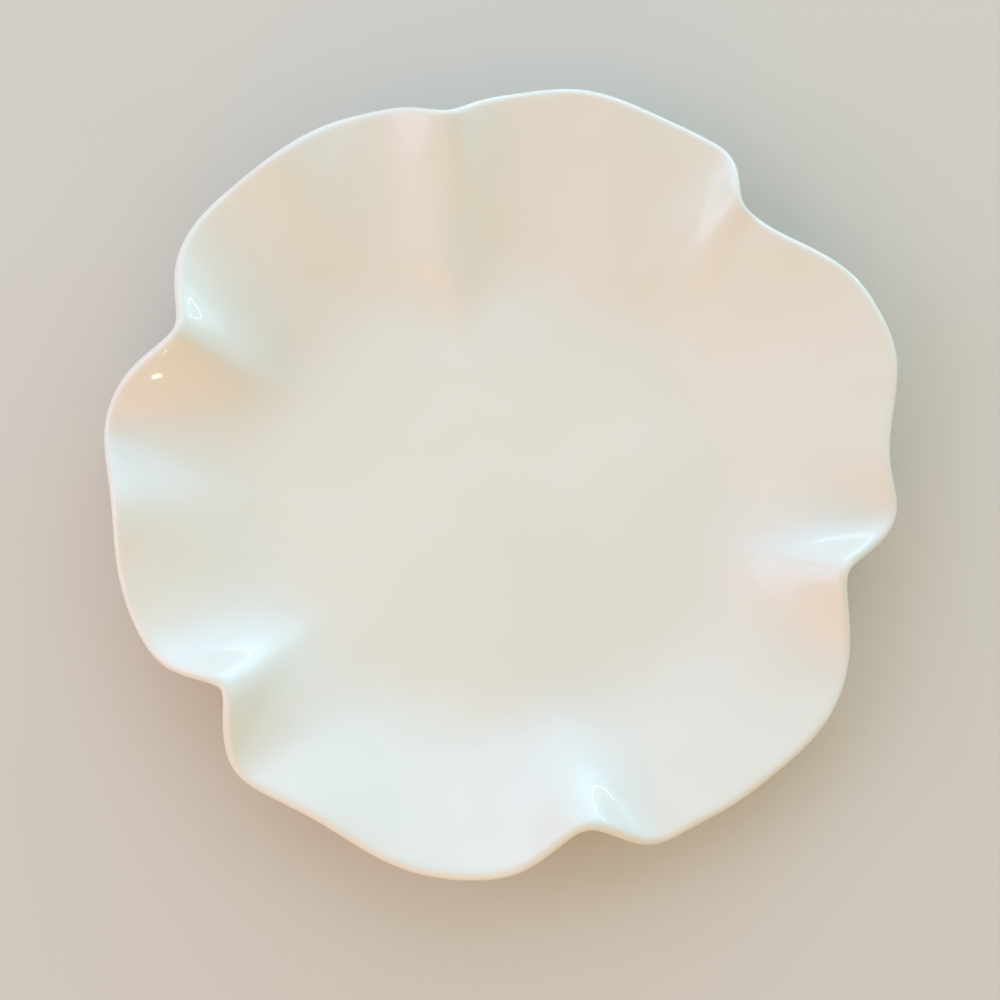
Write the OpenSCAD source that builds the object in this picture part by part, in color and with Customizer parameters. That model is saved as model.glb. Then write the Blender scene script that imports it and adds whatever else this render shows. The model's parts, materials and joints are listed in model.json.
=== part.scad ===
// Scalloped dessert plate: a flat round well and a wide rim pinched into six raised crests.
// Millimetres, +Z up. The origin is on the table, under the middle of the outline.

/* [Plate] */
// Nominal width over the ruffled lip
plate_w = 200; // [180:1:240]
// Radius of the flat well
well_r = 48; // [44:0.5:54]
// How far the well and the foot sit in front of the middle of the outline
well_offset = 3; // [0:0.5:5]
// Height of a plain lip above the well, at the nominal width
bowl_rise = 15; // [11:0.5:20]
// Height of the lip above the well where its lift is none
valley_rise = 6.5; // [4:0.5:10]
// Height of the lip above the well at the tallest crest
crest_rise = 19; // [14:0.5:25]

/* [Walls] */
// Clay thickness under the well
well_wall = 3.2; // [2.4:0.1:4.5]
// Clay thickness at the lip
rim_wall = 2.6; // [2:0.1:3.6]
// Thickness of each glaze coat
glaze = 0.4; // [0.25:0.05:0.6]

/* [Foot] */
// Height of the foot ring
foot_h = 5; // [4.5:0.1:8]
// How far the foot ring stands inside the edge of the well
foot_inset = 2; // [1.5:0.1:6]
// Width of the foot ring's band
foot_band = 4; // [2.5:0.1:8]
// Rounding of the foot ring's lower edges
foot_round = 1; // [0.2:0.1:1.2]
// Width of the bare clay left on each side of the foot ring
bare_strip = 1; // [0.5:0.1:1.4]

/* [Hidden] */

// Stations round the lip, each with the azimuth in degrees and three shares: the lip's reach, of half
// the width; its lift, from the lowest lip to the tallest crest; and where the slope starts, of the
// well's radius.
rim_shares = [
    // Right side, a long shallow lobe
    [0, 0.988, 0.44, 1], [9, 1.002, 0.56, 1], [17, 1.041, 0.68, 1],
    [23, 1.041, 0.7, 1], [29, 1.025, 0.7, 1], [37, 0.964, 0.69, 1],
    // First crest, a small step
    [42, 0.93, 0.67, 1], [46, 0.92, 0.66, 0.97], [49.5, 0.93, 0.76, 0.94], [53, 0.993, 0.58, 0.9],
    [58, 1.014, 0.5, 0.86], [67, 1.006, 0.56, 0.86], [78, 1.007, 0.6, 0.94], [88, 0.977, 0.52, 0.92],
    // Second crest, at the back, which runs far into the well
    [93.5, 0.953, 0.64, 0.84], [98.5, 0.926, 0.84, 0.74], [103.5, 0.956, 0.68, 0.68],
    [109.5, 0.987, 0.42, 0.78], [117, 0.996, 0.52, 0.9], [125, 0.987, 0.72, 0.97],
    [134, 0.997, 0.5, 1], [141, 0.998, 0.5, 1],
    // Third crest, on the left, with the deep lobe in front of it
    [148, 0.96, 0.66, 1], [153, 0.901, 0.88, 1], [156.5, 0.877, 1, 1], [160, 0.9, 0.9, 1],
    [166, 0.969, 0.54, 1], [174, 1.005, 0.16, 1], [178.5, 0.985, 0.38, 1], [184, 0.962, 0.66, 1],
    [194, 0.976, 0.46, 1], [204.5, 0.979, 0.34, 1], [211, 0.941, 0.56, 1],
    // Fourth crest, at the front left
    [215, 0.885, 0.8, 1], [218.5, 0.86, 0.9, 1], [222, 0.898, 0.82, 1], [228, 0.976, 0.46, 1],
    [234, 0.974, 0.5, 1], [243, 0.96, 0.6, 1], [256, 0.993, 0.58, 1], [266, 0.993, 0.64, 1],
    // Fifth crest, at the front
    [273, 0.967, 0.78, 1], [279, 0.912, 0.9, 1], [283, 0.89, 0.96, 1], [286.5, 0.912, 0.84, 1],
    [291.5, 0.979, 0.5, 1], [297.5, 0.991, 0.44, 1], [304, 0.997, 0.45, 1],
    [313, 1.006, 0.44, 1], [323, 1.017, 0.41, 1],
    // Sixth crest, on the right, with a narrow lobe behind it
    [331, 0.99, 0.38, 1], [337, 0.937, 0.6, 1], [341.5, 0.896, 0.84, 1], [344.5, 0.892, 0.88, 1],
    [349, 0.955, 0.5, 1], [354, 1.008, 0.28, 1]
];
// Part of the way up the rim over which the slope eases in
ease_share = 0.5;
// How fast the ruffle dies away from the lip to the well, as a power
ruffle_fade = 1.7;
// Azimuth in degrees over which the ruffle is smoothed at the well's edge
ruffle_spread = 20;
// Weights of that smoothing
spread_weights = [1, 4, 6, 4, 1]/16;
// Passes in which the slopes of the curve through the stations settle
slope_passes = 24;
// Steps of the mesh between stations, up the rim and round the lip
ring_steps = 3;
rim_steps = 7;
lip_steps = 4;

half_w = plate_w/2;
lip_r = rim_wall/2 + glaze;
foot_r = well_r - foot_inset;
foot_inner_r = foot_r - foot_band;
middle_z = foot_h + well_wall/2;
full_run = half_w - lip_r - well_r;

// Closed smooth curve through the stations
stations = len(rim_shares);
azimuths = [for (s = rim_shares) s[0]];
shares = [for (s = rim_shares) [s[1], s[2], s[3]]];
gaps = [
    for (i = [0 : stations - 1]) (i + 1 < stations ? azimuths[i + 1] : azimuths[0] + 360) - azimuths[i]
];
function around(i) = (i + stations)%stations;
chords = [for (i = [0 : stations - 1]) (shares[around(i + 1)] - shares[i])/gaps[i]];
function relaxed(slopes, passes) = passes == 0 ? slopes : relaxed([
    for (i = [0 : stations - 1])
        let (h = around(i - 1), j = around(i + 1))
            (3*(gaps[i]*chords[h] + gaps[h]*chords[i]) - gaps[i]*slopes[h] - gaps[h]*slopes[j])
                /(2*(gaps[h] + gaps[i]))
], passes - 1);
slopes = relaxed(chords, slope_passes);
function station_before(a) = max([for (i = [0 : stations - 1]) azimuths[i] <= a ? i : 0]);
function rim_at(azimuth) =
    let (
        a = (azimuth + 360)%360,
        i = station_before(a),
        j = around(i + 1),
        t = (a - azimuths[i])/gaps[i]
    )
        (1 + 2*t)*pow(1 - t, 2)*shares[i] + t*t*(3 - 2*t)*shares[j]
            + gaps[i]*t*(1 - t)*((1 - t)*slopes[i] - t*slopes[j]);

// The rim's middle surface: a plain bowl with the ruffle added to it
function bowl(share) =
    let (s = min(share/ease_share, 1))
        bowl_rise*(ease_share*(pow(s, 3) - pow(s, 4)/2) + max(share - ease_share, 0))
            /(1 - ease_share/2);
function lip_point(rim, azimuth) = (half_w*rim[0] - lip_r)*[cos(azimuth), sin(azimuth)];
function well_point(start, azimuth) = well_r*start*[cos(azimuth), sin(azimuth)] - [0, well_offset];
function run_share(azimuth, early) =
    let (rim = rim_at(azimuth))
        norm(lip_point(rim, azimuth) - well_point(early ? rim[2] : 1, azimuth))/full_run;
function lip_rise(azimuth) = valley_rise + (crest_rise - valley_rise)*rim_at(azimuth)[1];
function ruffle(azimuth, early) = lip_rise(azimuth) - bowl(run_share(azimuth, early));
function smooth_ruffle(azimuth, spread, early) = spread == 0 ? ruffle(azimuth, early) : [
    for (k = [0 : len(spread_weights) - 1]) ruffle(azimuth + (k - 2)*spread/2, early)
]*spread_weights;
function middle_point(azimuth, u, early) =
    let (
        rim = rim_at(azimuth),
        flat = well_point(early ? rim[2] : 1, azimuth)*(1 - u) + lip_point(rim, azimuth)*u,
        lift = smooth_ruffle(azimuth, ruffle_spread*(1 - u), early)
    )
        [flat[0], flat[1], middle_z + bowl(u*run_share(azimuth, early)) + lift*pow(u, ruffle_fade)];

// Rings of points: the middle surface as seen from above and from below, and which way it faces
ring_azimuths = [
    for (i = [0 : stations - 1], k = [0 : ring_steps - 1]) azimuths[i] + gaps[i]*k/ring_steps
];
ring_count = len(ring_azimuths);
function sheet(early) = [
    for (j = [0 : rim_steps]) [for (a = ring_azimuths) middle_point(a, j/rim_steps, early)]
];
function unit(v) = v/norm(v);
function facing(rings, j, i) = j == 0 ? [0, 0, 1] :
    let (
        outer = rings[min(j + 1, rim_steps)][i],
        inner = rings[j - 1][i],
        next = rings[j][(i + 1)%ring_count],
        last = rings[j][(i + ring_count - 1)%ring_count]
    )
        unit(cross(outer - inner, next - last));
top_rings = sheet(true);
low_rings = sheet(false);
lip_ring = top_rings[rim_steps];
lip_facing = [for (i = [0 : ring_count - 1]) facing(top_rings, rim_steps, i)];
lip_outward = [
    for (i = [0 : ring_count - 1])
        unit(cross(lip_ring[(i + 1)%ring_count] - lip_ring[(i + ring_count - 1)%ring_count], lip_facing[i]))
];
function half_wall(j) = (well_wall + (rim_wall - well_wall)*j/rim_steps)/2;
// Rings on the upper side, from the well to the lip, at a height over the clay
function upper(coat) = [
    for (j = [0 : rim_steps]) [
        for (i = [0 : ring_count - 1]) top_rings[j][i] + facing(top_rings, j, i)*(half_wall(j) + coat)
    ]
];
// Rings round the lip's nose
function nose(coat) = [
    for (k = [1 : lip_steps]) [
        for (i = [0 : ring_count - 1])
            let (turn = 180*k/lip_steps)
                lip_ring[i] + (lip_facing[i]*cos(turn) + lip_outward[i]*sin(turn))*(rim_wall/2 + coat)
    ]
];
// Rings on the lower side, from just inside the lip to the edge of the well
function lower(coat) = [
    for (j = [rim_steps - 1 : -1 : 0]) [
        for (i = [0 : ring_count - 1]) low_rings[j][i] - facing(low_rings, j, i)*(half_wall(j) + coat)
    ]
];
// Flat ring under the well
function flat_ring(radius, z) = [for (a = ring_azimuths) [radius*cos(a), radius*sin(a) - well_offset, z]];
function reversed(list) = [for (i = [len(list) - 1 : -1 : 0]) list[i]];

// Two triangles that split a quad along its shorter diagonal, so that touching skins share their facets
function quad(points, a, b, c, d) =
    norm(points[b] - points[c]) < norm(points[a] - points[d])
        ? [[a, b, c], [b, d, c]]
        : [[a, b, d], [a, d, c]];

// Closed skin through rings of points, between a first and a last middle point
module skin(first, rings, last) {
    points = concat([first], [for (r = rings) each r], [last]);
    rows = len(rings);
    band = [
        for (j = [0 : rows - 2], i = [0 : ring_count - 1])
            let (
                a = 1 + j*ring_count + i,
                b = 1 + j*ring_count + (i + 1)%ring_count
            )
                each quad(points, a, b, a + ring_count, b + ring_count)
    ];
    start = [for (i = [0 : ring_count - 1]) [0, 1 + (i + 1)%ring_count, 1 + i]];
    end_row = 1 + (rows - 1)*ring_count;
    end = [for (i = [0 : ring_count - 1]) [end_row + i, end_row + (i + 1)%ring_count, len(points) - 1]];
    polyhedron(points = points, faces = concat(start, band, end));
}

// Closed skin through rings of points that lead back to the first ring
module hoop(rings) {
    points = [for (r = rings) each r];
    rows = len(rings);
    faces = [
        for (j = [0 : rows - 1], i = [0 : ring_count - 1])
            let (
                next_i = (i + 1)%ring_count,
                row = j*ring_count,
                next_row = (j + 1)%rows*ring_count
            )
                each quad(points, row + i, row + next_i, next_row + i, next_row + next_i)
    ];
    polyhedron(points = points, faces = faces);
}

// Where the glaze stops outside the foot
glaze_start = flat_ring(foot_r + bare_strip, foot_h);

// White clay: the well and the ruffled rim
module ceramic_body() {
    color("ivory")
        skin(
            [0, -well_offset, foot_h + well_wall],
            concat(upper(0), nose(0), lower(0), [glaze_start]),
            [0, -well_offset, foot_h]
        );
}

// Clay ring under the well, bare where it stands on the table
module foot_ring() {
    color("linen")
        translate([0, -well_offset, 0])
            rotate_extrude($fn = 180)
                translate([foot_inner_r, 0]) {
                    translate([0, foot_round])
                        square([foot_band, foot_h - foot_round]);
                    translate([foot_round, 0])
                        square([foot_band - 2*foot_round, foot_h]);
                    for (x = [foot_round, foot_band - foot_round])
                        translate([x, foot_round])
                            circle(foot_round, $fn = 48);
                }
}

// Glaze over the well, up the rim and round the lip
module top_glaze() {
    color("white")
        skin(
            [0, -well_offset, foot_h + well_wall + glaze],
            concat(upper(glaze), nose(glaze), reversed(nose(0)), reversed(upper(0))),
            [0, -well_offset, foot_h + well_wall]
        );
}

// Glaze under the rim, from the lip to the bare strip outside the foot
module underside_glaze() {
    color("snow")
        hoop(concat(
            [nose(0)[lip_steps - 1]],
            [nose(glaze)[lip_steps - 1]],
            lower(glaze),
            [flat_ring(foot_r + bare_strip, foot_h - glaze)],
            [glaze_start],
            reversed(lower(0))
        ));
}

// Round glaze coat inside the foot
module recess_glaze() {
    color("snow")
        translate([0, -well_offset, foot_h - glaze])
            cylinder(r = foot_inner_r - bare_strip, h = glaze, $fn = 180);
}

ceramic_body();
foot_ring();
top_glaze();
underside_glaze();
recess_glaze();
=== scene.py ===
import json
import math

import bmesh
import bpy
import numpy as np
from mathutils import Matrix, Vector

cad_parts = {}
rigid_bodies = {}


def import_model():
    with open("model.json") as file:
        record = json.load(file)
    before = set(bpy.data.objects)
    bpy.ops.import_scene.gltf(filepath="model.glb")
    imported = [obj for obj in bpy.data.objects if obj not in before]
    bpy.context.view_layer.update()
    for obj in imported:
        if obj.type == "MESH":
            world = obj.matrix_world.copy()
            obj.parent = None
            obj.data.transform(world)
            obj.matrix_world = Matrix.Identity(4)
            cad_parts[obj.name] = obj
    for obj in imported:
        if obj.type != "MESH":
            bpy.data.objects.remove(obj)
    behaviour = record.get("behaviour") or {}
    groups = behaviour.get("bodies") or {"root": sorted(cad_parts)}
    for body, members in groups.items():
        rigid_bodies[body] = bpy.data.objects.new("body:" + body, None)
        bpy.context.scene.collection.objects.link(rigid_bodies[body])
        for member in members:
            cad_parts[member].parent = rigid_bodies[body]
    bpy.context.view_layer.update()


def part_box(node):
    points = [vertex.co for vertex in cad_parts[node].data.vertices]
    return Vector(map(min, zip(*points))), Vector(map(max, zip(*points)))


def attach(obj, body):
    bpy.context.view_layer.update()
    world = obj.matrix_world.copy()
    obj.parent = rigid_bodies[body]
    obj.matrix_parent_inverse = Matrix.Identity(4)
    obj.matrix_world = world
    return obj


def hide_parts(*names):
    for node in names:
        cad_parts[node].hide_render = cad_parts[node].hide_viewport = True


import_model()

# A white glazed dessert plate: a flat well, a wide rim ruffled into six raised crests, a foot ring.
# Metres, the CAD frame: +Z up, the origin on the table under the middle of the outline.

footLow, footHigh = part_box("foot_ring")
recessLow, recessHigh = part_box("recess_glaze")

# Stations round the lip: the azimuth in degrees, then the lip's reach as a share of
# half the width, its lift from the lowest lip to the tallest crest, and where the slope starts as a
# share of the well's radius.
rimShares = [
    # right side, a long shallow lobe
    (0, 0.988, 0.44, 1), (9, 1.002, 0.56, 1), (17, 1.041, 0.68, 1),
    (23, 1.041, 0.7, 1), (29, 1.025, 0.7, 1), (37, 0.964, 0.69, 1),
    # first crest, a small step
    (42, 0.93, 0.67, 1), (46, 0.92, 0.66, 0.97), (49.5, 0.93, 0.76, 0.94), (53, 0.993, 0.58, 0.9),
    (58, 1.014, 0.5, 0.86), (67, 1.006, 0.56, 0.86), (78, 1.007, 0.6, 0.94), (88, 0.977, 0.52, 0.92),
    # second crest, at the back, which runs far into the well
    (93.5, 0.953, 0.64, 0.84), (98.5, 0.926, 0.84, 0.74), (103.5, 0.956, 0.68, 0.68),
    (109.5, 0.987, 0.42, 0.78), (117, 0.996, 0.52, 0.9), (125, 0.987, 0.72, 0.97),
    (134, 0.997, 0.5, 1), (141, 0.998, 0.5, 1),
    # third crest, on the left, with the deep lobe in front of it
    (148, 0.96, 0.66, 1), (153, 0.901, 0.88, 1), (156.5, 0.877, 1, 1), (160, 0.9, 0.9, 1),
    (166, 0.969, 0.54, 1), (174, 1.005, 0.16, 1), (178.5, 0.985, 0.38, 1), (184, 0.962, 0.66, 1),
    (194, 0.976, 0.46, 1), (204.5, 0.979, 0.34, 1), (211, 0.941, 0.56, 1),
    # fourth crest, at the front left
    (215, 0.885, 0.8, 1), (218.5, 0.86, 0.9, 1), (222, 0.898, 0.82, 1), (228, 0.976, 0.46, 1),
    (234, 0.974, 0.5, 1), (243, 0.96, 0.6, 1), (256, 0.993, 0.58, 1), (266, 0.993, 0.64, 1),
    # fifth crest, at the front
    (273, 0.967, 0.78, 1), (279, 0.912, 0.9, 1), (283, 0.89, 0.96, 1), (286.5, 0.912, 0.84, 1),
    (291.5, 0.979, 0.5, 1), (297.5, 0.991, 0.44, 1), (304, 0.997, 0.45, 1),
    (313, 1.006, 0.44, 1), (323, 1.017, 0.41, 1),
    # sixth crest, on the right, with a narrow lobe behind it
    (331, 0.99, 0.38, 1), (337, 0.937, 0.6, 1), (341.5, 0.896, 0.84, 1), (344.5, 0.892, 0.88, 1),
    (349, 0.955, 0.5, 1), (354, 1.008, 0.28, 1),
]

plateSizes = {
    "Half Width": 0.09985,  # a hair inside the faceted lip of the solids
    "Well Radius": 0.048,
    "Well Offset": -(footLow.y + footHigh.y)/2,  # the well and the foot sit in front of the middle
    "Bowl Rise": 0.015,
    "Valley Rise": 0.0065,
    "Crest Rise": 0.019,
    "Well Wall": 0.0032,
    "Rim Wall": 0.0026,
    "Glaze": recessHigh.z - recessLow.z,
    "Foot Height": footHigh.z,
    "Glaze Start": (footHigh.x - footLow.x)/2 + 0.001,  # leaves a bare strip beside the foot
    "Ease Share": 0.5,
    "Ruffle Fade": 1.7,
    "Ruffle Spread": 20.0,  # degrees over which the ruffle is smoothed at the well
    "Unevenness": 0.00012,
    "Unevenness Scale": 26.0,
}
spreadWeights = (1/16, 4/16, 6/16, 4/16, 1/16)
flatShare = (1.0, 1.0, 0.0)  # keeps x and y of a place and drops its height
meshLimits = {
    "Merge": 2e-6,  # points closer than this are one point
    "Sharp": math.radians(55),  # edges sharper than this stay crisp
    "End Share": 0.0001,  # how near an end of the rim counts as the end
    "Slope Passes": 60,  # in which the slopes of the curve through the stations settle
}


# Helpers for node trees

class NodeBench:
    # adds nodes to a tree, wires them and lays them out in rows
    def __init__(self, tree):
        self.tree = tree
        self.acrossRow, self.rowWidth, self.rowHeight = 14, 190, 240

    def add(self, kind, wires=None, out=0, **settings):
        node = self.tree.nodes.new(kind)
        made = len(self.tree.nodes)
        node.location = (self.rowWidth*(made % self.acrossRow), -self.rowHeight*(made//self.acrossRow))
        for name, value in settings.items():
            setattr(node, name, value)
        for key, value in (wires or {}).items():
            if isinstance(value, bpy.types.NodeSocket):
                self.tree.links.new(value, node.inputs[key])
            else:
                node.inputs[key].default_value = value
        return node.outputs[out] if len(node.outputs) else node

    def math(self, operation, *values):
        return self.add("ShaderNodeMath", dict(enumerate(values)), operation=operation)

    def vector(self, operation, *values, out=0):
        return self.add("ShaderNodeVectorMath", dict(enumerate(values)), out, operation=operation)

    def scale(self, vector, factor):
        return self.add("ShaderNodeVectorMath", {0: vector, "Scale": factor}, operation="SCALE")

    def xyz(self, x, y, z):
        return self.add("ShaderNodeCombineXYZ", {0: x, 1: y, 2: z})

    def between(self, low, high, share):
        return self.math("ADD", self.math("MULTIPLY", self.math("SUBTRACT", high, low), share), low)

    def rest(self, share):
        return self.math("SUBTRACT", 1.0, share)

    def half(self, value):
        return self.math("MULTIPLY", value, 0.5)

    def tube(self, columns, steps):
        # open tube whose points are laid out in rings, to be moved into place
        return self.add("GeometryNodeMeshCylinder", {"Vertices": columns, "Side Segments": steps},
                        fill_type="NONE")

    def stored(self, name, kind="FLOAT"):
        return self.add("GeometryNodeInputNamedAttribute", {"Name": name}, data_type=kind)

    def sample(self, geometry, value, index, kind="FLOAT"):
        return self.add("GeometryNodeSampleIndex", {"Geometry": geometry, "Value": value, "Index": index},
                        data_type=kind, domain="POINT")

    def store(self, geometry, name, value, kind="FLOAT"):
        wires = {"Geometry": geometry, "Name": name, "Value": value}
        return self.add("GeometryNodeStoreNamedAttribute", wires, data_type=kind, domain="POINT")

    def place(self, geometry, position):
        return self.add("GeometryNodeSetPosition", {"Geometry": geometry, "Position": position})

    def move(self, geometry, offset):
        return self.add("GeometryNodeSetPosition", {"Geometry": geometry, "Offset": offset})

    def flip(self, mesh):
        return self.add("GeometryNodeFlipFaces", {"Mesh": mesh})

    def noise(self, place, scale, detail):
        return self.add("ShaderNodeTexNoise", {"Vector": place, "Scale": scale, "Detail": detail})

    def weld(self, parts):
        joined = self.add("GeometryNodeJoinGeometry")
        for part in parts:
            self.tree.links.new(part, joined.node.inputs[0])
        wires = {"Geometry": joined, "Distance": meshLimits["Merge"]}
        return self.add("GeometryNodeMergeByDistance", wires)


def newGeometryTree(name, numbers, geometries=(), counts=()):
    tree = bpy.data.node_groups.new(name, "GeometryNodeTree")
    for label in geometries:
        tree.interface.new_socket(name=label, in_out="INPUT", socket_type="NodeSocketGeometry")
    for label in counts:
        tree.interface.new_socket(name=label, in_out="INPUT", socket_type="NodeSocketInt")
    for label in numbers:
        tree.interface.new_socket(name=label, in_out="INPUT", socket_type="NodeSocketFloat")
    return tree, NodeBench(tree), tree.nodes.new("NodeGroupInput").outputs


def giveOutput(tree, bench, kind, label, socket):
    tree.interface.new_socket(name=label, in_out="OUTPUT", socket_type=kind)
    bench.add("NodeGroupOutput", {label: socket})


def nest(bench, group, given, changes):
    # a nested group fed by the outer tree's inputs of the same names, apart from the changes
    wires = {}
    for item in group.interface.items_tree:
        if item.in_out == "INPUT":
            wires[item.name] = changes[item.name] if item.name in changes else given[item.name]
    node = bench.tree.nodes.new("GeometryNodeGroup")
    node.node_tree = group
    for label, value in wires.items():
        if isinstance(value, bpy.types.NodeSocket):
            bench.tree.links.new(value, node.inputs[label])
        else:
            node.inputs[label].default_value = value
    return node.outputs[0]


# The rule of the rim, as node groups

def bowlGroup():
    # height of the plain bowl at a share of the way up the rim; the slope eases in
    tree, bench, given = newGeometryTree("bowlHeight", ["Share", "Bowl Rise", "Ease Share"])
    ease = given["Ease Share"]
    early = bench.math("MINIMUM", bench.math("DIVIDE", given["Share"], ease), 1.0)
    cubic = bench.math("POWER", early, 3.0)
    quartic = bench.half(bench.math("POWER", early, 4.0))
    eased = bench.math("MULTIPLY", bench.math("SUBTRACT", cubic, quartic), ease)
    straight = bench.math("MAXIMUM", bench.math("SUBTRACT", given["Share"], ease), 0.0)
    share = bench.math("DIVIDE", bench.math("ADD", eased, straight), bench.rest(bench.half(ease)))
    height = bench.math("MULTIPLY", share, given["Bowl Rise"])
    giveOutput(tree, bench, "NodeSocketFloat", "Height", height)
    return tree


def ruffleSampleGroup():
    # the ruffle at any place round the ring, between two of its points
    tree, bench, given = newGeometryTree("ruffleSample", ["Place"], ["Ring"], ["Columns"])
    base = bench.math("FLOOR", given["Place"])
    share = bench.math("SUBTRACT", given["Place"], base)
    ruffle = bench.stored("ruffle")
    ends = []
    for step in (0.0, 1.0):
        index = bench.math("FLOORED_MODULO", bench.math("ADD", base, step), given["Columns"])
        ends.append(bench.sample(given["Ring"], ruffle, index))
    giveOutput(tree, bench, "NodeSocketFloat", "Ruffle", bench.between(ends[0], ends[1], share))
    return tree


def ringGroup(bowl):
    # stores on the ring: where each run up the rim starts and ends, its length and its ruffle
    sizes = ["Early", "Half Width", "Lip Radius", "Well Radius", "Well Offset", "Bowl Rise", "Valley Rise",
             "Crest Rise", "Ease Share"]
    tree, bench, given = newGeometryTree("ringOfRuns", sizes, ["Ring"], ["Columns"])
    index = bench.add("GeometryNodeInputIndex")
    turn = bench.math("MULTIPLY", bench.math("DIVIDE", index, given["Columns"]), 2*math.pi)
    outward = bench.xyz(bench.math("COSINE", turn), bench.math("SINE", turn), 0.0)
    station = {name: bench.stored(name) for name in ("reach", "lift", "inner")}
    reach = bench.math("MULTIPLY", station["reach"], given["Half Width"])
    reach = bench.math("SUBTRACT", reach, given["Lip Radius"])
    startShare = bench.between(1.0, station["inner"], given["Early"])
    startRadius = bench.math("MULTIPLY", startShare, given["Well Radius"])
    offset = bench.xyz(0.0, given["Well Offset"], 0.0)
    lip = bench.scale(outward, reach)
    start = bench.vector("SUBTRACT", bench.scale(outward, startRadius), offset)
    length = bench.vector("LENGTH", bench.vector("SUBTRACT", lip, start), out="Value")
    fullRun = bench.math("SUBTRACT", given["Half Width"], given["Lip Radius"])
    fullRun = bench.math("SUBTRACT", fullRun, given["Well Radius"])
    run = bench.math("DIVIDE", length, fullRun)
    rise = bench.between(given["Valley Rise"], given["Crest Rise"], station["lift"])
    ruffle = bench.math("SUBTRACT", rise, nest(bench, bowl, given, {"Share": run}))
    ring = given["Ring"]
    for name, kind, value in (("start", "FLOAT_VECTOR", start), ("lip", "FLOAT_VECTOR", lip),
                              ("run", "FLOAT", run), ("ruffle", "FLOAT", ruffle)):
        ring = bench.store(ring, name, value, kind)
    giveOutput(tree, bench, "NodeSocketGeometry", "Ring", ring)
    return tree


def sheetGroup(bowl, ruffleSample):
    # middle surface of the rim, from the well's edge to the lip, with its share of the way as "along"
    sizes = ["Middle Height", "Bowl Rise", "Ease Share", "Ruffle Fade", "Ruffle Spread"]
    tree, bench, given = newGeometryTree("rimSheet", sizes, ["Ring"], ["Columns", "Steps"])
    tube = bench.tube(given["Columns"], given["Steps"])
    index = bench.add("GeometryNodeInputIndex")
    column = bench.math("FLOORED_MODULO", index, given["Columns"])
    row = bench.math("FLOOR", bench.math("DIVIDE", index, given["Columns"]))
    along = bench.math("DIVIDE", row, given["Steps"])
    sampled = {}
    for name, kind in (("start", "FLOAT_VECTOR"), ("lip", "FLOAT_VECTOR"), ("run", "FLOAT")):
        sampled[name] = bench.sample(given["Ring"], bench.stored(name, kind), column, kind)
    columnsPerDegree = bench.math("DIVIDE", given["Columns"], 360.0)
    degrees = bench.math("MULTIPLY", given["Ruffle Spread"], bench.rest(along))
    spread = bench.math("MULTIPLY", degrees, columnsPerDegree)
    smooth = 0.0
    middle = len(spreadWeights)//2
    for k, weight in enumerate(spreadWeights):
        shift = bench.math("MULTIPLY", spread, (k - middle)/middle)
        sample = nest(bench, ruffleSample, given, {"Place": bench.math("ADD", column, shift)})
        smooth = bench.math("ADD", bench.math("MULTIPLY", sample, weight), smooth)
    lifted = bench.math("MULTIPLY", smooth, bench.math("POWER", along, given["Ruffle Fade"]))
    height = nest(bench, bowl, given, {"Share": bench.math("MULTIPLY", along, sampled["run"])})
    z = bench.math("ADD", bench.math("ADD", height, lifted), given["Middle Height"])
    step = bench.scale(bench.vector("SUBTRACT", sampled["lip"], sampled["start"]), along)
    flat = bench.vector("ADD", sampled["start"], step)
    position = bench.vector("ADD", flat, bench.xyz(0.0, 0.0, z))
    sheet = bench.place(bench.store(tube, "along", along), position)
    giveOutput(tree, bench, "NodeSocketGeometry", "Sheet", sheet)
    return tree


def unevenGroup():
    # small hand-made unevenness of the upper side, gone at the lip
    tree, bench, given = newGeometryTree("uneven", ["Fade", "Unevenness", "Unevenness Scale"], ["Mesh"])
    position = bench.add("GeometryNodeInputPosition")
    flat = bench.vector("MULTIPLY", position, flatShare)
    noise = bench.noise(flat, given["Unevenness Scale"], 1.0)
    wave = bench.math("MULTIPLY", bench.math("SUBTRACT", noise, 0.5), given["Unevenness"])
    offset = bench.xyz(0.0, 0.0, bench.math("MULTIPLY", wave, given["Fade"]))
    giveOutput(tree, bench, "NodeSocketGeometry", "Mesh", bench.move(given["Mesh"], offset))
    return tree


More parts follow.
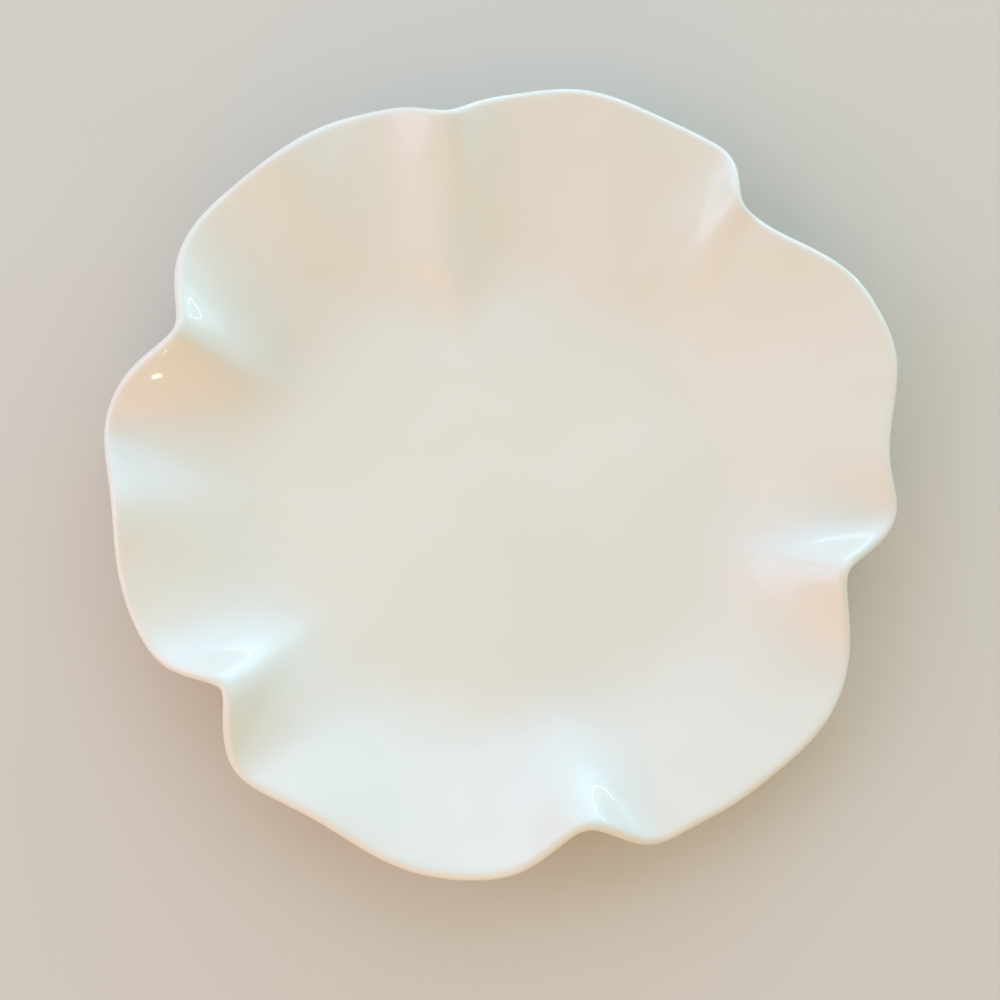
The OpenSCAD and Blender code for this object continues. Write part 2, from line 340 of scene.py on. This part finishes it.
def skinGroup(uneven):
    # the outside of the plate at a height over the clay: well, rim, lip and underside, open at the foot
    sizes = ["Coat", "Well Wall", "Rim Wall", "Well Radius", "Well Offset", "Foot Height", "Glaze Start",
             "Unevenness", "Unevenness Scale"]
    tree, bench, given = newGeometryTree("plateSkin", sizes, ["Top Sheet", "Low Sheet"],
                                         ["Columns", "Top Steps", "Well Steps", "Lip Steps"])
    columns = given["Columns"]
    along = bench.stored("along")
    normal = bench.add("GeometryNodeInputNormal")
    position = bench.add("GeometryNodeInputPosition")
    index = bench.add("GeometryNodeInputIndex")
    column = bench.math("FLOORED_MODULO", index, columns)
    row = bench.math("FLOOR", bench.math("DIVIDE", index, columns))

    # the sheets, moved half a wall and the coat along their normals; the well's edge goes straight up
    halfWall = bench.half(bench.between(given["Well Wall"], given["Rim Wall"], along))
    thickness = bench.math("ADD", halfWall, given["Coat"])
    onRim = bench.math("GREATER_THAN", along, meshLimits["End Share"])
    up = bench.scale(bench.xyz(0.0, 0.0, 1.0), bench.rest(onRim))
    facing = bench.vector("ADD", bench.scale(normal, onRim), up)
    offset = bench.scale(facing, thickness)
    fade = bench.rest(bench.math("POWER", along, 4.0))
    upper = nest(bench, uneven, given, {"Mesh": bench.move(given["Top Sheet"], offset), "Fade": fade})

    # the lip's round nose, on the last ring of the top sheet
    lastRing = bench.math("MULTIPLY", columns, given["Top Steps"])

    def onLip(value, step):
        around = bench.math("FLOORED_MODULO", bench.math("ADD", column, step), columns)
        return bench.sample(given["Top Sheet"], value, bench.math("ADD", around, lastRing), "FLOAT_VECTOR")

    lipUp = onLip(normal, 0.0)
    lipRun = bench.vector("SUBTRACT", onLip(position, 1.0), onLip(position, -1.0))
    lipOut = bench.vector("NORMALIZE", bench.vector("CROSS_PRODUCT", lipRun, lipUp))
    turn = bench.math("MULTIPLY", bench.math("DIVIDE", row, given["Lip Steps"]), math.pi)
    lipRadius = bench.math("ADD", bench.half(given["Rim Wall"]), given["Coat"])
    upwards = bench.scale(lipUp, bench.math("COSINE", turn))
    outwards = bench.scale(lipOut, bench.math("SINE", turn))
    rounding = bench.scale(bench.vector("ADD", upwards, outwards), lipRadius)
    nosePlace = bench.vector("ADD", onLip(position, 0.0), rounding)
    nose = bench.place(bench.tube(columns, given["Lip Steps"]), nosePlace)

    # the underside, whose last ring is the nose's last ring, so that the two close
    atLip = bench.math("GREATER_THAN", along, 1 - meshLimits["End Share"])
    noseEnd = bench.vector("SUBTRACT", onLip(position, 0.0), bench.scale(lipUp, lipRadius))
    noseEnd = bench.scale(noseEnd, atLip)
    under = bench.scale(bench.vector("SUBTRACT", position, offset), bench.rest(atLip))
    lower = bench.flip(bench.place(given["Low Sheet"], bench.vector("ADD", noseEnd, under)))

    # the flat well, from its middle to the first ring of the top sheet
    wellHeight = bench.math("ADD", given["Foot Height"], given["Well Wall"])
    wellHeight = bench.math("ADD", wellHeight, given["Coat"])
    edge = bench.sample(given["Top Sheet"], position, column, "FLOAT_VECTOR")
    middle = bench.xyz(0.0, bench.math("MULTIPLY", given["Well Offset"], -1.0), wellHeight)
    edgeFlat = bench.vector("MULTIPLY", edge, flatShare)
    edgeTop = bench.vector("ADD", edgeFlat, bench.xyz(0.0, 0.0, wellHeight))
    share = bench.math("DIVIDE", row, given["Well Steps"])
    wellPlace = bench.vector("ADD", middle, bench.scale(bench.vector("SUBTRACT", edgeTop, middle), share))
    well = bench.place(bench.tube(columns, given["Well Steps"]), wellPlace)
    well = nest(bench, uneven, given, {"Mesh": well, "Fade": 1.0})

    # the flat underside outside the foot; the coat rounds off towards its edge there
    turnUnder = bench.math("MULTIPLY", bench.math("DIVIDE", column, columns), 2*math.pi)
    outward = bench.xyz(bench.math("COSINE", turnUnder), bench.math("SINE", turnUnder), 0.0)
    quarterTurn = bench.math("MULTIPLY", bench.math("DIVIDE", row, given["Lip Steps"]), math.pi/2)
    edgeShare = bench.rest(bench.math("COSINE", quarterTurn))
    radius = bench.between(given["Glaze Start"], given["Well Radius"], edgeShare)
    depth = bench.math("MULTIPLY", given["Coat"], bench.math("SINE", quarterTurn))
    lowest = bench.math("SUBTRACT", given["Foot Height"], depth)
    flatPlace = bench.vector("SUBTRACT", bench.scale(outward, radius),
                             bench.xyz(0.0, given["Well Offset"], 0.0))
    flatPlace = bench.vector("ADD", flatPlace, bench.xyz(0.0, 0.0, lowest))
    flatRing = bench.flip(bench.place(bench.tube(columns, given["Lip Steps"]), flatPlace))

    whole = bench.weld((upper, lower, nose, well, flatRing))
    giveOutput(tree, bench, "NodeSocketGeometry", "Skin", whole)
    return tree


def plateTree(name, ring, sheet, skin, asCoat):
    # the glaze coat, between two skins, or the clay, closed by its flat bottom
    counts = ["Columns", "Top Steps", "Low Steps", "Well Steps", "Lip Steps"]
    tree, bench, given = newGeometryTree(name, list(plateSizes), ["Ring"], counts)
    lipRadius = bench.math("ADD", bench.half(given["Rim Wall"]), given["Glaze"])
    middleHeight = bench.math("ADD", given["Foot Height"], bench.half(given["Well Wall"]))
    sheets = {}
    for label, early, steps in (("Top Sheet", 1.0, "Top Steps"), ("Low Sheet", 0.0, "Low Steps")):
        runs = nest(bench, ring, given, {"Early": early, "Lip Radius": lipRadius})
        changes = {"Ring": runs, "Middle Height": middleHeight, "Steps": given[steps]}
        sheets[label] = nest(bench, sheet, given, changes)
    clay = nest(bench, skin, given, {"Coat": 0.0, **sheets})
    if asCoat:
        outside = nest(bench, skin, given, {"Coat": given["Glaze"], **sheets})
        parts = (outside, bench.flip(clay))
    else:
        disc = bench.add("GeometryNodeMeshCircle",
                         {"Vertices": given["Columns"], "Radius": given["Glaze Start"]},
                         fill_type="TRIANGLE_FAN")
        offset = bench.xyz(0.0, bench.math("MULTIPLY", given["Well Offset"], -1.0), given["Foot Height"])
        parts = (clay, bench.flip(bench.move(disc, offset)))
    whole = bench.add("GeometryNodeRealizeInstances", {"Geometry": bench.weld(parts)})
    tree.interface.new_socket(name="Material", in_out="INPUT", socket_type="NodeSocketMaterial")
    whole = bench.add("GeometryNodeSetMaterial", {"Geometry": whole, "Material": given["Material"]})
    giveOutput(tree, bench, "NodeSocketGeometry", "Mesh", whole)
    return tree


# The curve through the stations

def rimCurve(columns):
    # closed smooth curve: slopes that make the bend continuous, then a cubic between stations
    azimuth = np.array([s[0] for s in rimShares], float)
    value = np.array([s[1:] for s in rimShares], float)
    gap = np.diff(np.append(azimuth, azimuth[0] + 360))[:, None]
    chord = (np.roll(value, -1, 0) - value)/gap
    gapBefore, chordBefore = np.roll(gap, 1, 0), np.roll(chord, 1, 0)
    slope = chord.copy()
    for _ in range(meshLimits["Slope Passes"]):
        pull = gap*np.roll(slope, 1, 0) + gapBefore*np.roll(slope, -1, 0)
        slope = (3*(gap*chordBefore + gapBefore*chord) - pull)/(2*(gap + gapBefore))
    turn = np.arange(columns)*360/columns
    here = np.searchsorted(azimuth, turn, side="right") - 1
    ahead = (here + 1) % len(azimuth)
    t = ((turn - azimuth[here])/gap[here, 0])[:, None]  # share of the way to the station ahead
    ends = (1 + 2*t)*(1 - t)**2*value[here] + t*t*(3 - 2*t)*value[ahead]
    return ends + gap[here]*t*(1 - t)*((1 - t)*slope[here] - t*slope[ahead])


def ringObject(name, columns):
    curve = rimCurve(columns)
    mesh = bpy.data.meshes.new(name)
    turns = [2*math.pi*i/columns for i in range(columns)]
    mesh.from_pydata([(math.cos(a), math.sin(a), 0) for a in turns], [], [])
    for k, attribute in enumerate(("reach", "lift", "inner")):
        mesh.attributes.new(attribute, "FLOAT", "POINT").data.foreach_set("value", curve[:, k])
    piece = bpy.data.objects.new(name, mesh)
    bpy.context.scene.collection.objects.link(piece)
    return piece


def growFromTree(piece, tree, inputs):
    # runs the tree on the piece and keeps the result as a plain mesh
    modifier = piece.modifiers.new("shape", "NODES")
    modifier.node_group = tree
    for item in tree.interface.items_tree:
        if item.in_out == "INPUT" and item.name in inputs:
            modifier[item.identifier] = inputs[item.name]
    evaluated = piece.evaluated_get(bpy.context.evaluated_depsgraph_get())
    mesh = bpy.data.meshes.new_from_object(evaluated)
    piece.modifiers.clear()
    piece.data = mesh
    mesh.name = piece.name
    for attribute in [a for a in mesh.attributes if a.name in ("along", "start", "lip", "run", "ruffle")]:
        mesh.attributes.remove(attribute)
    mesh.shade_smooth()
    mesh.set_sharp_from_angle(angle=meshLimits["Sharp"])


# Shader groups and materials

def newShaderGroup(name, numbers, colours=()):
    tree = bpy.data.node_groups.new(name, "ShaderNodeTree")
    for label in numbers:
        tree.interface.new_socket(name=label, in_out="INPUT", socket_type="NodeSocketFloat")
    for label in colours:
        tree.interface.new_socket(name=label, in_out="INPUT", socket_type="NodeSocketColor")
    return tree, NodeBench(tree), tree.nodes.new("NodeGroupInput").outputs


def mottleGroup():
    # soft change between two colours, and between two roughnesses, over the surface
    tree, bench, given = newShaderGroup("mottle", ["Scale", "Detail", "Smooth", "Rough"], ["Pale", "Deep"])
    place = bench.add("ShaderNodeTexCoord", out="Object")
    noise = bench.noise(place, given["Scale"], given["Detail"])
    share = bench.add("ShaderNodeMapRange", {"Value": noise, "From Min": 0.25, "From Max": 0.75},
                      interpolation_type="SMOOTHSTEP")
    mix = tree.nodes.new("ShaderNodeMix")
    mix.data_type = "RGBA"
    for socket, index in ((share, 0), (given["Pale"], 6), (given["Deep"], 7)):  # factor and the two colours
        tree.links.new(socket, mix.inputs[index])
    rough = bench.between(given["Smooth"], given["Rough"], share)
    tree.interface.new_socket(name="Colour", in_out="OUTPUT", socket_type="NodeSocketColor")
    tree.interface.new_socket(name="Roughness", in_out="OUTPUT", socket_type="NodeSocketFloat")
    bench.add("NodeGroupOutput", {"Colour": mix.outputs[2], "Roughness": rough})
    return tree


def rippleGroup():
    # height of a fine grain laid over a broader wave, in metres
    wanted = ["Wave Scale", "Wave Height", "Grain Scale", "Grain Height"]
    tree, bench, given = newShaderGroup("ripple", wanted)
    place = bench.add("ShaderNodeTexCoord", out="Object")
    height = 0.0
    for part in ("Wave", "Grain"):
        noise = bench.noise(place, given[part + " Scale"], 1.0)
        height = bench.math("ADD", bench.math("MULTIPLY", noise, given[part + " Height"]), height)
    tree.interface.new_socket(name="Height", in_out="OUTPUT", socket_type="NodeSocketFloat")
    bench.add("NodeGroupOutput", {"Height": height})
    return tree


def ceramicMaterial(name, look, mottle, ripple):
    material = bpy.data.materials.new(name)
    material.use_nodes = True
    tree = material.node_tree
    bench = NodeBench(tree)
    shader = tree.nodes["Principled BSDF"]
    tone = tree.nodes.new("ShaderNodeGroup")
    tone.node_tree = mottle
    relief = tree.nodes.new("ShaderNodeGroup")
    relief.node_tree = ripple
    for label in ("Scale", "Detail", "Smooth", "Rough", "Pale", "Deep"):
        tone.inputs[label].default_value = look[label]
    for label in ("Wave Scale", "Wave Height", "Grain Scale", "Grain Height"):
        relief.inputs[label].default_value = look[label]
    bump = bench.add("ShaderNodeBump", {"Height": relief.outputs[0], "Strength": 1.0, "Distance": 1.0})
    tree.links.new(tone.outputs["Colour"], shader.inputs["Base Color"])
    tree.links.new(tone.outputs["Roughness"], shader.inputs["Roughness"])
    tree.links.new(bump, shader.inputs["Normal"])
    shader.inputs["IOR"].default_value = look["IOR"]
    shader.inputs["Coat Weight"].default_value = look["Coat"]
    shader.inputs["Coat Roughness"].default_value = look["Coat Roughness"]
    return material


glazeLook = {
    "Pale": (0.80, 0.755, 0.68, 1), "Deep": (0.765, 0.715, 0.635, 1), "Scale": 14.0, "Detail": 2.0,
    "Smooth": 0.3, "Rough": 0.36, "IOR": 1.5, "Coat": 0.3, "Coat Roughness": 0.05,
    "Wave Scale": 45.0, "Wave Height": 0.001, "Grain Scale": 700.0, "Grain Height": 0.0000015,
}
clayLook = {
    "Pale": (0.78, 0.73, 0.66, 1), "Deep": (0.70, 0.64, 0.56, 1), "Scale": 90.0, "Detail": 6.0,
    "Smooth": 0.75, "Rough": 0.95, "IOR": 1.45, "Coat": 0.0, "Coat Roughness": 0.05,
    "Wave Scale": 400.0, "Wave Height": 0.00003, "Grain Scale": 2600.0, "Grain Height": 0.00002,
}
mottle, ripple = mottleGroup(), rippleGroup()
glazeMaterial = ceramicMaterial("glaze", glazeLook, mottle, ripple)
clayMaterial = ceramicMaterial("bareClay", clayLook, mottle, ripple)
print("materials made")


# The glaze coat and the clay under it

bowl, ruffleSample, uneven = bowlGroup(), ruffleSampleGroup(), unevenGroup()
ring = ringGroup(bowl)
sheet = sheetGroup(bowl, ruffleSample)
skin = skinGroup(uneven)

coatSteps = {"Columns": 540, "Top Steps": 40, "Low Steps": 20, "Well Steps": 6, "Lip Steps": 7}
claySteps = {"Columns": 480, "Top Steps": 22, "Low Steps": 14, "Well Steps": 3, "Lip Steps": 5}

glazeCoat = ringObject("glazeCoat", coatSteps["Columns"])
coatTree = plateTree("glazeCoatTree", ring, sheet, skin, True)
growFromTree(glazeCoat, coatTree, {**plateSizes, **coatSteps, "Material": glazeMaterial})
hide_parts("top_glaze", "underside_glaze")
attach(glazeCoat, "root")
print("glaze coat:", len(glazeCoat.data.polygons), "faces")

clayBody = ringObject("clayBody", claySteps["Columns"])
clayTree = plateTree("clayBodyTree", ring, sheet, skin, False)
growFromTree(clayBody, clayTree, {**plateSizes, **claySteps, "Material": clayMaterial})
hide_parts("ceramic_body")
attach(clayBody, "root")
print("clay body:", len(clayBody.data.polygons), "faces")


# Turned pieces: the foot ring and the glaze inside it

turnedMesh = {"Steps": 240, "Merge": 1e-7}


def turnedPiece(name, profile, material, node):
    # turns a closed profile of (radius, height) points about the middle of the foot
    bm = bmesh.new()
    steps = turnedMesh["Steps"]
    verts = []
    for k in range(steps):
        x, y = math.cos(2*math.pi*k/steps), math.sin(2*math.pi*k/steps)
        verts.append([bm.verts.new((r*x, r*y - plateSizes["Well Offset"], z)) for r, z in profile])
    for k in range(steps):
        near, far = verts[k], verts[(k + 1) % steps]
        for i in range(len(profile)):
            j = (i + 1) % len(profile)
            bm.faces.new((near[i], far[i], far[j], near[j]))
    bmesh.ops.remove_doubles(bm, verts=bm.verts, dist=turnedMesh["Merge"])
    bmesh.ops.recalc_face_normals(bm, faces=bm.faces)
    mesh = bpy.data.meshes.new(name)
    bm.to_mesh(mesh)
    bm.free()
    mesh.shade_smooth()
    mesh.set_sharp_from_angle(angle=meshLimits["Sharp"])
    mesh.materials.append(material)
    piece = bpy.data.objects.new(name, mesh)
    bpy.context.scene.collection.objects.link(piece)
    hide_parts(node)
    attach(piece, "root")


def arc(centre, radius, start, end, steps=8):
    turns = [math.radians(start + (end - start)*k/steps) for k in range(steps + 1)]
    return [(centre[0] + radius*math.cos(a), centre[1] + radius*math.sin(a)) for a in turns]


footShape = {"Band": 0.004, "Rounding": 0.001, "Fillet": 0.0007}
footOuter = (footHigh.x - footLow.x)/2
footInner = footOuter - footShape["Band"]
footTop = footHigh.z
rounding, fillet = footShape["Rounding"], footShape["Fillet"]
footProfile = (
    arc((footOuter - rounding, rounding), rounding, -90, 0)
    + arc((footOuter + fillet, footTop - fillet), fillet, 180, 90)
    + arc((footInner - fillet, footTop - fillet), fillet, 90, 0)
    + arc((footInner + rounding, rounding), rounding, 180, 270)
)
turnedPiece("footRing", footProfile, clayMaterial, "foot_ring")

recessShape = {"Radius": (recessHigh.x - recessLow.x)/2, "Rounding": 0.00035}
recessRadius, recessEdge = recessShape["Radius"], recessShape["Rounding"]
recessProfile = (
    [(0, recessHigh.z), (0, recessLow.z)]
    + arc((recessRadius - recessEdge, recessLow.z + recessEdge), recessEdge, -90, 0)
    + [(recessRadius, recessHigh.z)]
)
turnedPiece("recessCoat", recessProfile, glazeMaterial, "recess_glaze")
print("foot and recess made")


# Floor, lamps, world and camera

floorLook = {"Colour": (0.64, 0.585, 0.52, 1), "Roughness": 0.7, "Radius": 1.3, "Steps": 120}
floorTurns = [2*math.pi*k/floorLook["Steps"] for k in range(floorLook["Steps"])]
floorEdge = [(floorLook["Radius"]*math.cos(a), floorLook["Radius"]*math.sin(a), 0) for a in floorTurns]
floorMesh = bpy.data.meshes.new("floor")
floorMesh.from_pydata(floorEdge, [], [range(floorLook["Steps"])])
floor = bpy.data.objects.new("floor", floorMesh)
bpy.context.scene.collection.objects.link(floor)
floorMaterial = bpy.data.materials.new("paleFloor")
floorMaterial.use_nodes = True
floorShader = floorMaterial.node_tree.nodes["Principled BSDF"]
floorShader.inputs["Base Color"].default_value = floorLook["Colour"]
floorShader.inputs["Roughness"].default_value = floorLook["Roughness"]
floorMesh.materials.append(floorMaterial)


def softLamp(name, azimuth, elevation, distance, width, height, power, colour):
    # a rectangle of light that faces the plate from an azimuth and an elevation in degrees
    data = bpy.data.lights.new(name, "AREA")
    data.shape = "RECTANGLE"
    data.size, data.size_y = width, height
    data.energy, data.color = power, colour
    lamp = bpy.data.objects.new(name, data)
    turn, rise = math.radians(azimuth), math.radians(elevation)
    aim = Vector((math.cos(turn)*math.cos(rise), math.sin(turn)*math.cos(rise), math.sin(rise)))
    lamp.location = aim*distance
    lamp.rotation_euler = aim.to_track_quat("Z", "Y").to_euler()
    bpy.context.scene.collection.objects.link(lamp)


lamps = [
    # name, azimuth, elevation, distance, width, height, watts, colour
    ("windowSide", 92, 34, 1.7, 2.8, 1.7, 21.5, (0.375, 0.605, 1.0)),
    ("windowFoot", 60, 10, 1.6, 2.0, 0.5, 8.5, (0.28, 0.68, 1.0)),
    ("strip", 68, 7, 1.55, 1.8, 0.02, 3.5, (0.85, 0.95, 1.0)),
    ("leftSide", 178, 32, 1.8, 1.6, 1.2, 14.0, (0.60, 0.66, 1.0)),
    ("rightSide", 0, 32, 1.8, 1.6, 1.2, 5.0, (0.30, 0.72, 1.0)),
    ("warmSide", 258, 34, 1.8, 2.4, 1.6, 10.6, (1.0, 0.31, 0.06)),
    ("smallGlint", 268, 25, 1.9, 0.08, 0.08, 0.8, (1.0, 0.97, 0.92)),
]
for lamp in lamps:
    softLamp(*lamp)

roomLook = {  # the light of the room on the plate, and the plain backdrop that is seen and mirrored
    "Light": (0.885, 0.875, 0.61, 1), "Light Strength": 0.65,
    "Backdrop": (0.80, 0.785, 0.76, 1), "Backdrop Strength": 0.8,
}
world = bpy.data.worlds.new("room")
bpy.context.scene.world = world
world.use_nodes = True
roomTree = world.node_tree
roomBench = NodeBench(roomTree)
lightPath = roomTree.nodes.new("ShaderNodeLightPath").outputs
roomLight = roomTree.nodes["Background"]
backdrop = roomTree.nodes.new("ShaderNodeBackground")
for shader, label in ((roomLight, "Light"), (backdrop, "Backdrop")):
    shader.inputs["Color"].default_value = roomLook[label]
    shader.inputs["Strength"].default_value = roomLook[label + " Strength"]
seen = roomBench.math("MAXIMUM", lightPath["Is Camera Ray"], lightPath["Is Glossy Ray"])
seen = roomBench.math("MAXIMUM", seen, lightPath["Is Transmission Ray"])
roomMix = roomTree.nodes.new("ShaderNodeMixShader")
for socket, index in ((seen, 0), (roomLight.outputs[0], 1), (backdrop.outputs[0], 2)):
    roomTree.links.new(socket, roomMix.inputs[index])
roomTree.links.new(roomMix.outputs[0], roomTree.nodes["World Output"].inputs["Surface"])

cameraView = {
    "Sensor": 36.0, "Lens": 41.4,  # millimetres
    "Eye": Vector((-0.00748, -0.03015, 0.30476)),
    "Forward": Vector((0.0252, 0.0816, -0.9964)),
    "Up": Vector((-0.0021, 0.9967, 0.0816)),
}
cameraData = bpy.data.cameras.new("camera")
cameraData.sensor_width = cameraView["Sensor"]
cameraData.lens = cameraView["Lens"]
camera = bpy.data.objects.new("camera", cameraData)
bpy.context.scene.collection.objects.link(camera)
forward = cameraView["Forward"].normalized()
right = forward.cross(cameraView["Up"]).normalized()
axes = Matrix((right, right.cross(forward), -forward)).transposed().to_4x4()
camera.matrix_world = Matrix.Translation(cameraView["Eye"]) @ axes
bpy.context.scene.camera = camera
bpy.context.scene.view_settings.view_transform = "Standard"
print("stage, lamps and camera set")
